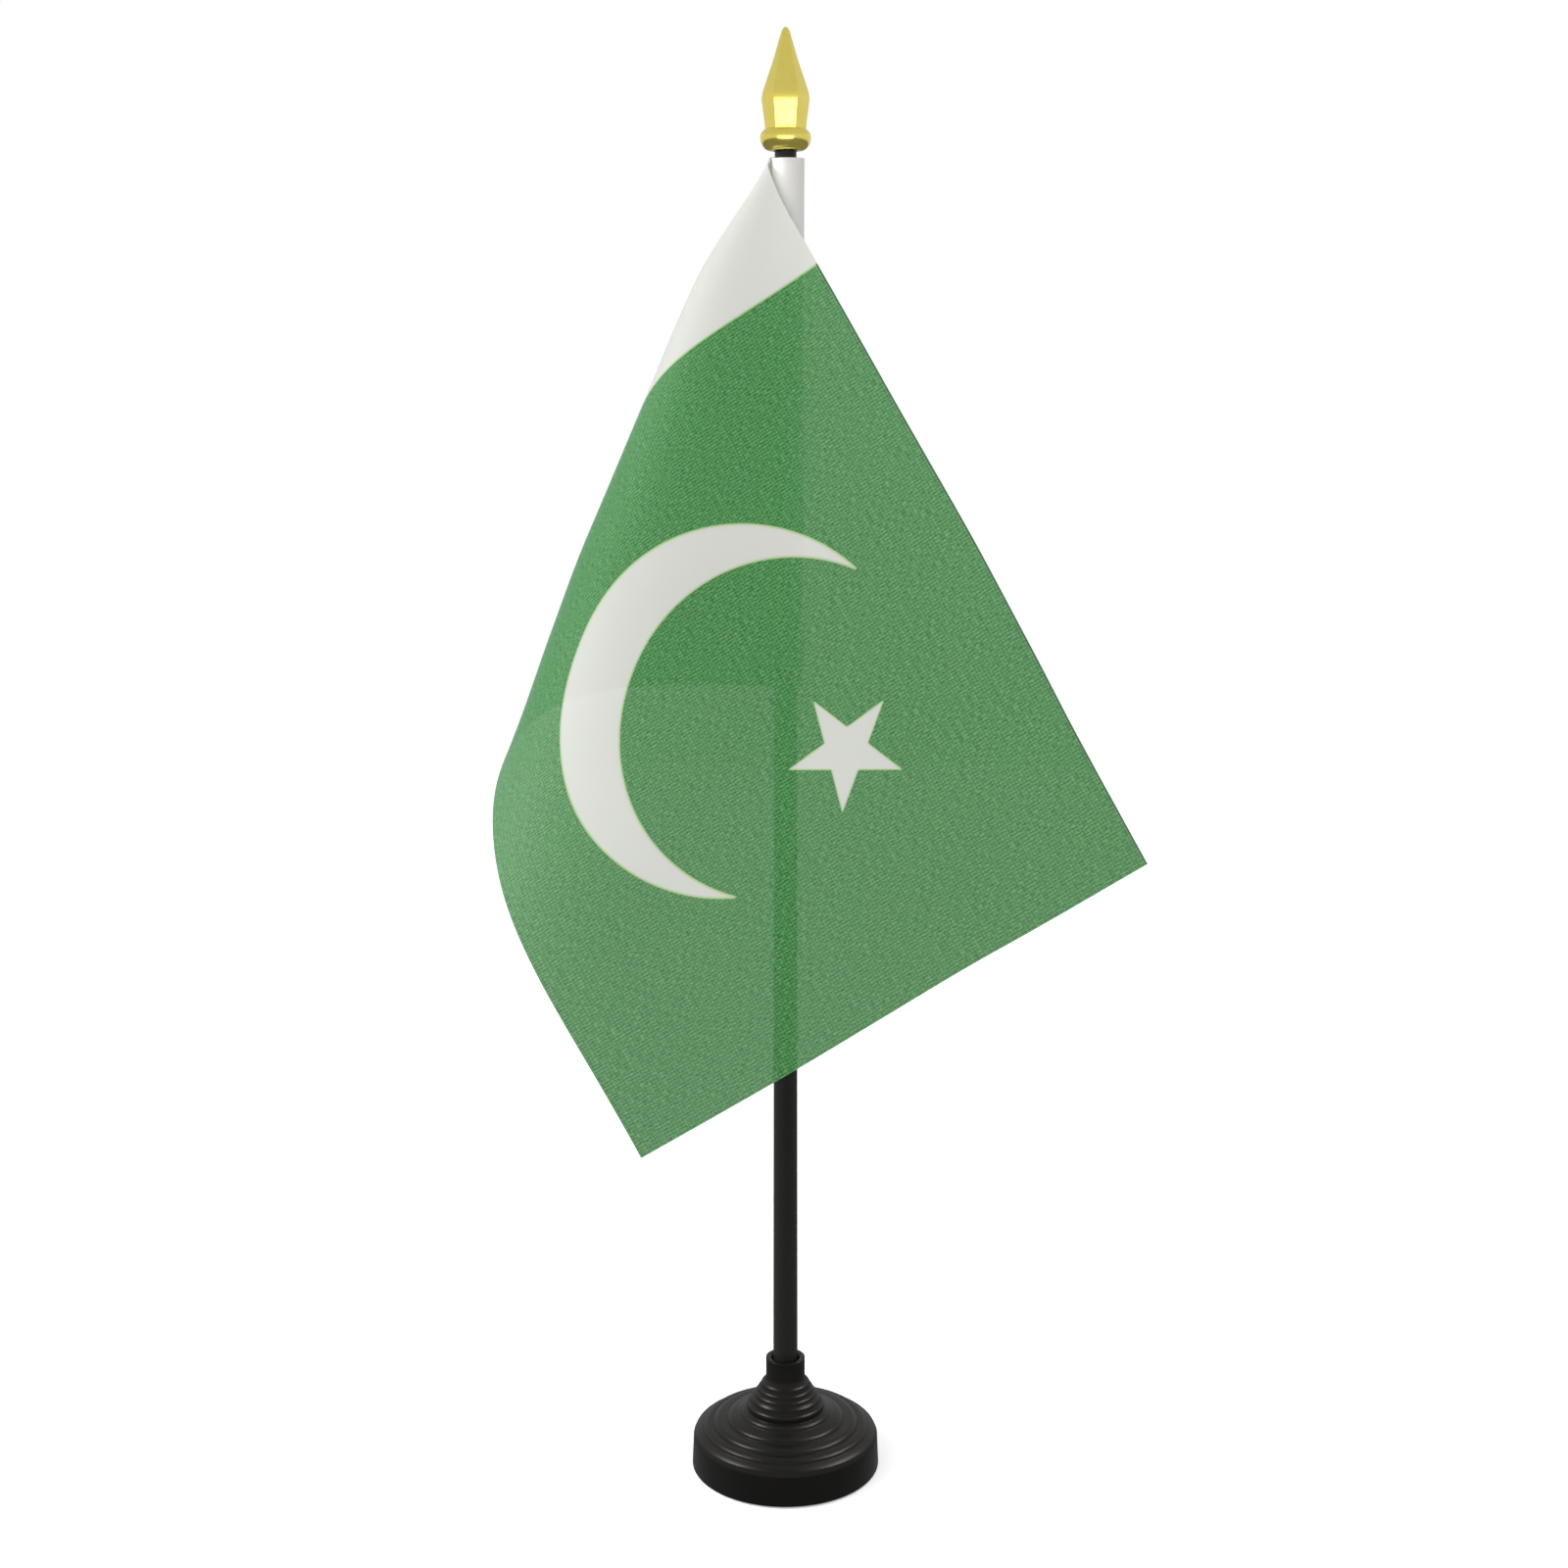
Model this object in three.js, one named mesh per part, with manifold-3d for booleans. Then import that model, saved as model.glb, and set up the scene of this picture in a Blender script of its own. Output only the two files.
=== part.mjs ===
// A desk flag stand: a moulded weighted base, a tapered pole, a faceted spear finial and a small
// cloth flag that hangs from a sewn sleeve. Millimetres, +Z up, origin in the middle of the underside.
import * as THREE from "three";
import { mergeVertices } from "three/addons/utils/BufferGeometryUtils.js";
import Module from "manifold-3d";

const wasm = await Module();
wasm.setup();

// Driving dimensions.
const GAP = 0.3; // clearance between pieces that touch

const BASE_RADIUS = 19.7;
const RIM_RADIUS = 19.4; // the wall leans in a little
const RIM_TOP = 6.8;
const BASE_WALL = 1.6;
const NECK_RADIUS = 4.1;
const NECK_ROOT = 19.5; // where the cone runs into the neck
const NECK_TOP = 24;
const BOSS_RADIUS = 5.2; // post inside the base that holds the pole
const SOCKET_FLOOR = 5;
const SOCKET_CHAMFER = 0.6;
// The moulded rings, from the rim inwards: the [radius, height] of the groove at the foot of each one.
const BROAD_RINGS = [[17.5, 8.6], [15.3, 9.5], [12.3, 10.4], [9.5, 11.7]];
const FINE_RINGS = [[8.1, 13.5], [7.3, 14.8], [6.5, 15.9], [5.8, 17], [5.1, 18.2]];
const RING_NOSE = 0.25; // how far each ring's edge stands in from its groove
const BROAD_RISE = 0.6;
const FINE_RISE = 0.4;

const PAD_RADIUS = 17.6;
const PAD_THICKNESS = 1.2;
const PAD_PROUD = 0.4; // how far the pad stands below the rim
const BALLAST_THICKNESS = 4;

const POLE_RADIUS_FOOT = 2.58;
const POLE_RADIUS_HEAD = 2.05;
const POLE_HEAD = 277;

const FINIAL_FOOT = 267.9;
const FINIAL_TIP = 290.7;
const FINIAL_SIDES = 6;
const RING_RADIUS = 4.8;
const WAIST_RADIUS = 3.95;
const SHOULDER_RADIUS = 4.5;

const FLAG_FLY = 154; // sleeve to free edge
const FLAG_HOIST = 101; // along the pole
const FLAG_TOP = 267.3;
const SLEEVE_WALL = 0.4;
const CLOTH_THICKNESS = 0.6;

// The hanging cloth is a cone whose tip stands on the hoist line a little above the top corner.
// Its generators are straight; going round it, the cloth leaves the sleeve, folds once and comes back.
const DRAPE = {
  tip: 5.5, // height of the cone's tip above the top corner
  offset: 3.5, // hoist line to the left of the pole's axis
  heading: 39, // degrees, direction in which the cloth leaves the sleeve: 0 is -X, more is backwards
  lead: -0.6, // curvature of the cone before the fold
  foldAt: 28, // degrees round the tip, in the flat cloth
  foldWidth: 11.9, // degrees
  foldTurn: -189, // degrees, forwards
  front: 0.9, // change of curvature that bows the front panel
  give: 1.028, // stretch of the cloth across the front panel
};

const BOTTOM_COLUMNS = 60;
const FLY_COLUMNS = 24;
const FINEST_TURN = 0.01; // radians

const STITCH_RADIUS = 0.25;
const STITCH_FROM_SLEEVE = 2.2;

const ROUND = 56; // sides of the base

const blackPlastic = new THREE.MeshStandardMaterial({ color: 0x17181a, roughness: 0.42 });
const goldPlating = new THREE.MeshStandardMaterial({ color: 0xd8b84a, roughness: 0.25, metalness: 1 });
const greenCloth = new THREE.MeshStandardMaterial({ color: 0x4e9a5f, roughness: 0.9 });
const whiteCloth = new THREE.MeshStandardMaterial({ color: 0xe4e6e0, roughness: 0.9 });
const steel = new THREE.MeshStandardMaterial({ color: 0x8d9092, roughness: 0.5, metalness: 1 });
const foam = new THREE.MeshStandardMaterial({ color: 0x2a2b2c, roughness: 0.95 });

// A closed mesh as a solid that can be joined and cut.
function solid(geometry) {
  const bare = geometry.clone();
  bare.deleteAttribute("normal");
  bare.deleteAttribute("uv");
  const merged = mergeVertices(bare, 1e-4);
  return new wasm.Manifold(new wasm.Mesh({
    numProp: 3,
    vertProperties: new Float32Array(merged.attributes.position.array),
    triVerts: new Uint32Array(merged.index.array),
  }));
}

function geometryOf(manifold) {
  const mesh = manifold.getMesh();
  const geometry = new THREE.BufferGeometry();
  geometry.setAttribute("position", new THREE.BufferAttribute(mesh.vertProperties, 3));
  geometry.setIndex(new THREE.BufferAttribute(mesh.triVerts, 1));
  geometry.computeVertexNormals();
  return geometry;
}

// A solid turned about Z from a profile of [radius, height] points, listed anticlockwise.
function turned(profile, sides = ROUND) {
  const points = profile.map(([r, z]) => new THREE.Vector2(r, z));
  return new THREE.LatheGeometry(points, sides).rotateX(Math.PI / 2);
}

function rod(radiusFoot, radiusHead, foot, head, sides = 24) {
  return turned([[0, foot], [radiusFoot, foot], [radiusHead, head], [0, head]], sides);
}

function piece(name, geometry, material) {
  const mesh = new THREE.Mesh(geometry, material);
  mesh.name = name;
  return mesh;
}

function poleRadius(z) {
  return THREE.MathUtils.mapLinear(z, SOCKET_FLOOR + GAP, POLE_HEAD, POLE_RADIUS_FOOT, POLE_RADIUS_HEAD);
}

// Base: a hollow moulding with a cone of rings on a broad foot, and a post inside for the pole.
function baseShell() {
  const outside = [
    [BASE_RADIUS, PAD_PROUD], [RIM_RADIUS, RIM_TOP],
    [RIM_RADIUS - 0.4, RIM_TOP + 0.9], [RIM_RADIUS - 1.1, RIM_TOP + 1.4],
  ];
  BROAD_RINGS.forEach(([r, z]) => outside.push([r, z], [r - RING_NOSE, z + BROAD_RISE]));
  FINE_RINGS.forEach(([r, z]) => outside.push([r, z], [r - RING_NOSE / 2, z + FINE_RISE]));
  outside.push([NECK_RADIUS, NECK_ROOT], [NECK_RADIUS, NECK_TOP - 0.5], [NECK_RADIUS - 0.5, NECK_TOP]);
  const bore = POLE_RADIUS_FOOT + GAP;
  const socket = [
    [bore + SOCKET_CHAMFER, NECK_TOP], [bore, NECK_TOP - SOCKET_CHAMFER], [bore, SOCKET_FLOOR],
    [0, SOCKET_FLOOR], [0, SOCKET_FLOOR - BASE_WALL], [BOSS_RADIUS, SOCKET_FLOOR - BASE_WALL],
  ];
  const inside = [
    [BOSS_RADIUS, 12.4], [8, 9.8], [12, 8.6], [15.4, 7.6], [BASE_RADIUS - BASE_WALL, 5.9],
    [BASE_RADIUS - BASE_WALL, PAD_PROUD],
  ];
  return turned([...outside, ...socket, ...inside, outside[0]]);
}

// A ring of ballast round the post.
function ballastDisc() {
  const low = PAD_THICKNESS + GAP;
  const high = low + BALLAST_THICKNESS;
  const inner = BOSS_RADIUS + GAP;
  const outer = BASE_RADIUS - BASE_WALL - GAP;
  return turned([[inner, low], [outer, low], [outer, high], [inner, high], [inner, low]]);
}

// Finial: a six-sided spear on a round cup that the pole's end goes into.
function finial() {
  const waist = FINIAL_FOOT + 4.9;
  const shoulder = FINIAL_FOOT + 10;
  const spear = turned([
    [0, FINIAL_FOOT + 2], [WAIST_RADIUS, FINIAL_FOOT + 2], [WAIST_RADIUS, waist],
    [WAIST_RADIUS + 0.25, waist + 1.8], [SHOULDER_RADIUS, shoulder - 0.8],
    [SHOULDER_RADIUS, shoulder], [SHOULDER_RADIUS - 0.3, shoulder + 1.3],
    [0.6, FINIAL_TIP - 0.4], [0, FINIAL_TIP],
  ], FINIAL_SIDES).rotateZ(Math.PI / FINIAL_SIDES);
  const ring = turned([
    [0, FINIAL_FOOT], [RING_RADIUS - 1.7, FINIAL_FOOT], [RING_RADIUS - 0.7, FINIAL_FOOT + 1.1],
    [RING_RADIUS - 0.1, FINIAL_FOOT + 2.2], [RING_RADIUS, FINIAL_FOOT + 3],
    [RING_RADIUS - 0.25, FINIAL_FOOT + 3.9], [0, FINIAL_FOOT + 4.8],
  ], 40);
  const boreRadius = POLE_RADIUS_HEAD + GAP;
  const bore = rod(boreRadius + 0.05, boreRadius, FINIAL_FOOT - 1, POLE_HEAD + GAP);
  return geometryOf(solid(spear).add(solid(ring)).subtract(solid(bore)));
}

// The sewn sleeve: an oval tube of cloth round the pole, a little loose on its right.
function flagSleeve() {
  const low = FLAG_TOP - FLAG_HOIST;
  const inner = poleRadius(low) + GAP;
  const oval = (path, wall) => path.absellipse(0.5, 0, inner + 0.5 + wall, inner + wall, 0, 2 * Math.PI);
  const outline = oval(new THREE.Shape(), SLEEVE_WALL);
  outline.holes.push(oval(new THREE.Path(), 0));
  const settings = { depth: FLAG_HOIST, bevelEnabled: false, curveSegments: 16 };
  const tube = new THREE.ExtrudeGeometry(outline, settings);
  return tube.translate(0, 0, low);
}

// Angles of the drape's generators round the cone's tip, in the flat cloth: evenly over the hoist and
// the bottom edge, then up the fly edge, ever closer together towards the top corner.
function drapeAngles() {
  const angles = [];
  const corner = Math.atan2(FLAG_FLY, DRAPE.tip + FLAG_HOIST);
  for (let i = 0; i < BOTTOM_COLUMNS; i++) angles.push(corner * i / BOTTOM_COLUMNS);
  for (let i = 0; i < FLY_COLUMNS; i++) {
    angles.push(Math.atan2(FLAG_FLY, DRAPE.tip + FLAG_HOIST * (1 - i / FLY_COLUMNS) ** 3));
  }
  return angles;
}

// Directions of the generators at those angles, and the cloth's normals there.
function drapeFan() {
  const radians = THREE.MathUtils.degToRad;
  const foldAt = radians(DRAPE.foldAt);
  const foldWidth = radians(DRAPE.foldWidth);
  const foldPeak = radians(DRAPE.foldTurn) / (foldWidth * Math.sqrt(2 * Math.PI));
  const heading = radians(DRAPE.heading);
  const along = new THREE.Vector3(0, 0, -1);
  const across = new THREE.Vector3(-Math.cos(heading), Math.sin(heading), 0);
  let reached = 0;
  return drapeAngles().map((angle) => {
    const steps = Math.ceil((angle - reached) / FINEST_TURN);
    const pace = (angle - reached) / steps;
    for (let i = 0; i < steps; i++) {
      const middle = reached + (i + 0.5) * pace;
      const fold = foldPeak * Math.exp(-0.5 * ((middle - foldAt) / foldWidth) ** 2);
      const bend = DRAPE.lead + fold + (middle > foldAt ? DRAPE.front : 0);
      const turn = along.clone().cross(across).addScaledVector(along, bend);
      const amount = turn.length() * pace;
      turn.normalize();
      along.applyAxisAngle(turn, amount).normalize();
      across.applyAxisAngle(turn, amount).normalize();
    }
    reached = angle;
    return { angle, along: along.clone(), normal: along.clone().cross(across) };
  });
}

// One corner of the solid cloth: a place in the flat cloth, on its front (+1) or back (-1).
function drapePoint(generator, reach, side) {
  const stretch = 1 + (DRAPE.give - 1) * Math.min(generator.angle / 0.5, 1);
  return new THREE.Vector3(-DRAPE.offset, 0, FLAG_TOP + DRAPE.tip)
    .addScaledVector(generator.along, reach * stretch)
    .addScaledVector(generator.normal, side * CLOTH_THICKNESS / 2);
}

// How far along a generator the cloth starts (its top edge) and ends (its bottom or fly edge).
function drapeReach(angle) {
  const start = Math.min(DRAPE.tip / Math.cos(angle), FLAG_FLY / Math.sin(angle));
  const end = Math.min((DRAPE.tip + FLAG_HOIST) / Math.cos(angle), FLAG_FLY / Math.sin(angle));
  return [start, Math.max(end, start)];
}

function flagCloth() {
  const rows = 4;
  const fan = drapeFan();
  const positions = [];
  const index = [];
  const at = (i, j, side) => (i * (rows + 1) + j) * 2 + (side > 0 ? 0 : 1);
  fan.forEach((generator) => {
    const [start, end] = drapeReach(generator.angle);
    for (let j = 0; j <= rows; j++) {
      const reach = THREE.MathUtils.lerp(start, end, j / rows);
      positions.push(...drapePoint(generator, reach, 1), ...drapePoint(generator, reach, -1));
    }
  });
  const quad = (a, b, c, d) => index.push(a, b, c, a, c, d);
  for (let i = 0; i + 1 < fan.length; i++) {
    for (let j = 0; j < rows; j++) {
      quad(at(i, j, 1), at(i, j + 1, 1), at(i + 1, j + 1, 1), at(i + 1, j, 1));
      quad(at(i, j, -1), at(i + 1, j, -1), at(i + 1, j + 1, -1), at(i, j + 1, -1));
    }
    quad(at(i, 0, 1), at(i + 1, 0, 1), at(i + 1, 0, -1), at(i, 0, -1));
    quad(at(i, rows, 1), at(i, rows, -1), at(i + 1, rows, -1), at(i + 1, rows, 1));
  }
  const end = fan.length - 1;
  for (let j = 0; j < rows; j++) {
    quad(at(0, j, 1), at(0, j, -1), at(0, j + 1, -1), at(0, j + 1, 1));
    quad(at(end, j, 1), at(end, j + 1, 1), at(end, j + 1, -1), at(end, j, -1));
  }
  const cloth = new THREE.BufferGeometry();
  cloth.setAttribute("position", new THREE.Float32BufferAttribute(positions, 3));
  cloth.setIndex(index);
  return cloth;
}

// The seam thread that closes the sleeve, just behind the cloth beside it.
function sleeveStitching() {
  const heading = THREE.MathUtils.degToRad(DRAPE.heading);
  const leave = new THREE.Vector2(-Math.cos(heading), Math.sin(heading));
  const clear = CLOTH_THICKNESS / 2 + GAP + STITCH_RADIUS;
  const x = -DRAPE.offset + leave.x * STITCH_FROM_SLEEVE + leave.y * clear;
  const y = leave.y * STITCH_FROM_SLEEVE - leave.x * clear;
  return rod(STITCH_RADIUS, STITCH_RADIUS, FLAG_TOP - FLAG_HOIST + 1, FLAG_TOP - 1, 8).translate(x, y, 0);
}

const base = new THREE.Group();
base.add(
  piece("base_shell", baseShell(), blackPlastic),
  piece("ballast_disc", ballastDisc(), steel),
  piece("foot_pad", rod(PAD_RADIUS, PAD_RADIUS, 0, PAD_THICKNESS, ROUND), foam),
);

const flag = new THREE.Group();
flag.add(
  piece("flag_cloth", flagCloth(), greenCloth),
  piece("flag_sleeve", flagSleeve(), whiteCloth),
  piece("sleeve_stitching", sleeveStitching(), whiteCloth),
);

const mast = new THREE.Group();
mast.add(
  piece("pole", rod(POLE_RADIUS_FOOT, POLE_RADIUS_HEAD, SOCKET_FLOOR + GAP, POLE_HEAD), blackPlastic),
  piece("finial", finial(), goldPlating),
  flag,
);

const deskFlag = new THREE.Group();
deskFlag.add(base, mast);

export default deskFlag;
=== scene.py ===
"""Desk flag stand: a black moulded base and pole, a gold spear finial and a small printed cloth flag."""

import math

import bpy
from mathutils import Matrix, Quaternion, Vector, noise


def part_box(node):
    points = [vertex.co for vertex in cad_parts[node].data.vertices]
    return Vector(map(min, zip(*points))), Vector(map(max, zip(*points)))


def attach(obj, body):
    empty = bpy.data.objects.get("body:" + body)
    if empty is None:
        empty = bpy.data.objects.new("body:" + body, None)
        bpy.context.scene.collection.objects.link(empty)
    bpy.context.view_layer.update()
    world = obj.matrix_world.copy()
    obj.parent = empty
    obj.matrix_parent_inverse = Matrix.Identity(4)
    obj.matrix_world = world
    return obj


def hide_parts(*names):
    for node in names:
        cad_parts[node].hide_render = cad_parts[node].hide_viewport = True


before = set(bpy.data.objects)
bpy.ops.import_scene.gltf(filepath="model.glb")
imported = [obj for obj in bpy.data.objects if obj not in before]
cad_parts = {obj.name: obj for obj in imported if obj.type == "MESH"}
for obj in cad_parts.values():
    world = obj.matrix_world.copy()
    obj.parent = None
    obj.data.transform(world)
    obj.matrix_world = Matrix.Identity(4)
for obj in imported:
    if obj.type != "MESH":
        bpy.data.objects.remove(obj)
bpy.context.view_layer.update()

MM = 0.001

# Sizes are in millimetres, in the frame's own axes, and angles in degrees.

# ---------------------------------------------------------------- base, pole and finial

BASE_RADIUS = 19.7
BASE_FOOT = 0.4
BASE_SIDES = 144
BROAD_GROOVES = ((17.5, 8.6), (15.3, 9.5), (12.3, 10.4), (9.5, 11.7))
FINE_GROOVES = ((8.1, 13.5), (7.3, 14.8), (6.5, 15.9), (5.8, 17.0), (5.1, 18.2))
# Each ring rises from its groove in a rounded nose: how far in and how far up from the groove.
BROAD_NOSE = ((0.0, -0.16), (0.07, 0.1), (0.26, 0.36), (0.56, 0.57), (0.98, 0.74), (1.45, 0.84))
FINE_NOSE = ((-0.04, -0.14), (0.0, 0.12), (0.11, 0.32), (0.34, 0.46))
NECK_RADIUS = 4.1
NECK_TOP = 24.0
BORE_RADIUS = 2.76
SOCKET_FLOOR = 5.0

POLE_FOOT, POLE_HEAD = (corner[2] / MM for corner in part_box("pole"))
POLE_RADIUS_FOOT = 2.6
POLE_RADIUS_HEAD = 2.05
POLE_END = 0.4  # how far each end is rounded
POLE_SIDES = 48

FINIAL_FOOT, FINIAL_TIP = (corner[2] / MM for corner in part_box("finial"))
SPEAR_SIDES = 6
CUP_CORE = 2.85
CUP_BULGE = 1.95
CUP_WIDEST = 2.95  # height of the cup's widest ring over the finial's foot
CUP_BELOW = 2.5
CUP_ABOVE = 1.75
CUP_SIDES = 96

# ---------------------------------------------------------------- flag

SLEEVE_FOOT, SLEEVE_HEAD = (corner[2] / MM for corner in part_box("flag_sleeve"))
FLAG_FLY = 154.0  # sleeve to free edge
FLAG_HOIST = SLEEVE_HEAD - SLEEVE_FOOT
CLOTH_THICKNESS = 0.22
SEAM_X = -3.5  # where the cloth leaves the sleeve
SEAM_ALLOWANCE = 0.9

# The cloth hangs as a cone: straight lines fan out from a point just above the top corner.
FAN_STEP = 0.25
DRAPE_TIP = 5.5  # height of that point above the corner
DRAPE_HEADING = 39.0  # backwards from -X
DRAPE_LEAD = -0.6  # curvature before the fold
DRAPE_FOLD_AT = 28.0  # round the tip, in the flat cloth
DRAPE_FOLD_WIDTH = 11.9
DRAPE_FOLD_TURN = -189.0  # forwards
DRAPE_FRONT = 0.9  # change of curvature past the fold
DRAPE_GIVE = 0.028  # stretch across the front panel
DRAPE_GIVE_BY = 0.5  # radians round the tip by which it is reached
DRAPE_TUCK = 1.2  # the top corner is sewn in towards the pole
DRAPE_TUCK_REACH = 16.0
DRAPE_PINCH = 2.2  # and the fold is pinched flat there
DRAPE_PINCH_REACH = 11.0
DRAPE_PINCH_START = 3.0
# How far the fold stands out from the cone, by distance from its tip.
FOLD_STANDS = ((0, 0), (12, -1.2), (30, 0.7), (55, 0.8), (85, 0.05), (112, -1.3), (140, -2.2), (175, -1.3))
FOLD_STANDS_AT = 29.0
FOLD_SPREAD = 13.0  # to each side
HEM_SAG = 4.6  # the bottom edge hangs in a shallow curve
HEM_SAG_AT = 103.0
HEM_SAG_WIDTH = 38.7
HEM_SAG_FROM = 82.0
# How far the top edge bows out, by distance from the seam, and the free edge is drawn in, by distance
# from the top, and how deep into the cloth each one reaches.
TOP_BOW = ((0, 0), (10, 0.2), (25, 1.0), (60, 0.95), (90, 1.0), (110, 0.5), (128, -0.1), (154, -0.4))
TOP_BOW_DEPTH = 30.0
FREE_BOW = ((0, 0.3), (20, 0.6), (36, 0.85), (52, 0.6), (70, 0.25), (101, 0.1))
FREE_BOW_DEPTH = 54.0
RIPPLE_DEPTH = 0.35

SLEEVE_CENTRE_X = 0.5
SLEEVE_HALF_WIDTH = 3.05
SLEEVE_HALF_DEPTH = 2.62
SLEEVE_SLACK = 0.12
SLEEVE_TAIL = 0.75  # it is drawn out to a point at the seam
SLEEVE_TAIL_SPREAD = 0.42  # radians
SLEEVE_DROP = 0.3  # the sleeve's top edge is cut a little below the cloth's

STITCH_RADIUS = 0.17
STITCH_LENGTH = 2.0
STITCH_PITCH = 2.4
STITCH_MARGIN = 9.0
STITCH_FROM_SEAM = 1.3
STITCH_OUT = CLOTH_THICKNESS / 2 + 0.02  # from the middle of the cloth

# The print, in the flat cloth from the seam and the bottom edge: circles are a centre and a radius.
STRIPE_WIDTH = 29.0
CRESCENT_OUTER = (92.0, 49.4, 33.5)
CRESCENT_INNER = (100.1, 56.4, 30.6)
STAR_CENTRE = (109.8, 64.7)
STAR_RADIUS = 10.8
STAR_TURN = 41.0  # from the fly direction to one tip
INK_BLEED = 0.5
STAR_BLEED = 0.3
# Width of the painted shade along the top edge of the green, standing in for the shade where that edge curls.
SHADED_TOP_EDGE = 0.22
RIB_SPACING = 0.62

# ---------------------------------------------------------------- light

WALL_LIGHT = 0.74
CEILING_LIGHT = 0.62
UNDER_LIGHT = 0.08  # below the horizon, where the floor doesn't reach
FLOOR_BOUNCE = 0.5
FLOOR_MIRRORED = 0.22
LIGHT_AIM = (0.0, 0.0, 0.15)
# Name, place in metres, width and height in metres, power in watts, and whether it lights what is matt or
# is only mirrored by what is glossy.
LIGHTS = (
    ("key softbox", (-0.2, -0.22, 0.47), (0.28, 0.28), 0.9, True),
    ("left softbox", (-0.75, 0.0, 0.5), (0.3, 0.3), 5.6, True),
    ("right softbox", (0.62, 0.1, 0.8), (0.2, 0.2), 1.4, True),
    ("front softbox", (0.0, -1.1, 0.13), (0.34, 0.34), 0.9, True),
    ("left strip", (-0.62, 0.05, 0.8), (0.2, 0.2), 5.5, False),
    ("right strip", (0.62, 0.1, 0.8), (0.2, 0.2), 7.5, False),
    ("cloth strip", (-0.8, -0.02, 0.3), (0.5, 0.6), 4.2, False),
    ("front card", (0.0, -1.0, 0.13), (1.4, 0.32), 3.8, False),
)


# ---------------------------------------------------------------- small helpers


def linear(hex_colour):
    """An sRGB hex colour as a linear one."""
    values = [int(hex_colour[i : i + 2], 16) / 255 for i in (1, 3, 5)]
    return (*[v / 12.92 if v <= 0.04045 else ((v + 0.055) / 1.055) ** 2.4 for v in values], 1.0)


def add_node(tree, kind, inputs=None, **settings):
    """Adds a node with its settings, and gives each input a value, a socket or a node's first output."""
    made = tree.nodes.new(kind)
    for name, value in settings.items():
        setattr(made, name, value)
    for name, value in (inputs or {}).items():
        if isinstance(value, bpy.types.Node):
            value = next(socket for socket in value.outputs if socket.enabled)
        if isinstance(value, bpy.types.NodeSocket):
            tree.links.new(value, made.inputs[name])
        else:
            made.inputs[name].default_value = value
    return made


def new_material(name):
    material = bpy.data.materials.new(name)
    material.use_nodes = True
    material.node_tree.nodes.clear()
    return material, material.node_tree


def deselect():
    if bpy.context.mode != "OBJECT":
        bpy.ops.object.mode_set(mode="OBJECT")
    bpy.ops.object.select_all(action="DESELECT")


def pick(piece):
    """Makes one piece the only selected one, and the active one."""
    deselect()
    piece.select_set(True)
    bpy.context.view_layer.objects.active = piece


def shade_smooth(piece, angle):
    pick(piece)
    bpy.ops.object.shade_smooth_by_angle(angle=math.radians(angle))


def finish_piece(piece, name, material, body, slot, *replaced):
    """Names a piece, bakes its place into its mesh, and ties it to the frame."""
    pick(piece)
    bpy.ops.object.transform_apply(location=True, rotation=True, scale=True)
    piece.name = name
    piece.data.materials.clear()
    piece.data.materials.append(material)
    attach(piece, body)
    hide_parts(*replaced)
    return piece


def apply_modifier(piece, kind, **settings):
    modifier = piece.modifiers.new(kind.lower(), kind)
    for name, value in settings.items():
        setattr(modifier, name, value)
    bpy.context.view_layer.objects.active = piece
    bpy.ops.object.modifier_apply(modifier=modifier.name)


def turned_piece(rings, sides, turn=0.0):
    """A closed round piece, extruded from a disc ring by ring: rings are a radius and a height."""
    deselect()
    radius, height = rings[0]
    bpy.ops.mesh.primitive_circle_add(
        vertices=sides, radius=radius * MM, location=(0, 0, height * MM), rotation=(0, 0, turn),
        fill_type="NGON",
    )
    piece = bpy.context.object
    bpy.ops.object.mode_set(mode="EDIT")
    bpy.ops.mesh.select_all(action="SELECT")
    for next_radius, next_height in rings[1:]:
        rise = (next_height - height) * MM
        scale = next_radius / radius
        bpy.ops.mesh.extrude_region_move(TRANSFORM_OT_translate={"value": (0, 0, rise)})
        bpy.ops.transform.resize(value=(scale, scale, 1), center_override=(0, 0, next_height * MM))
        radius, height = next_radius, next_height
    bpy.ops.mesh.select_all(action="SELECT")
    bpy.ops.mesh.normals_make_consistent(inside=False)
    bpy.ops.object.mode_set(mode="OBJECT")
    return piece


def round_off(piece, width, segments=3, over=25.0):
    """Rounds every edge sharper than an angle, and shades the rest smooth."""
    apply_modifier(
        piece, "BEVEL", width=width * MM, segments=segments, limit_method="ANGLE",
        angle_limit=math.radians(over), use_clamp_overlap=True,
    )
    shade_smooth(piece, 40)


# ---------------------------------------------------------------- materials


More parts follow.
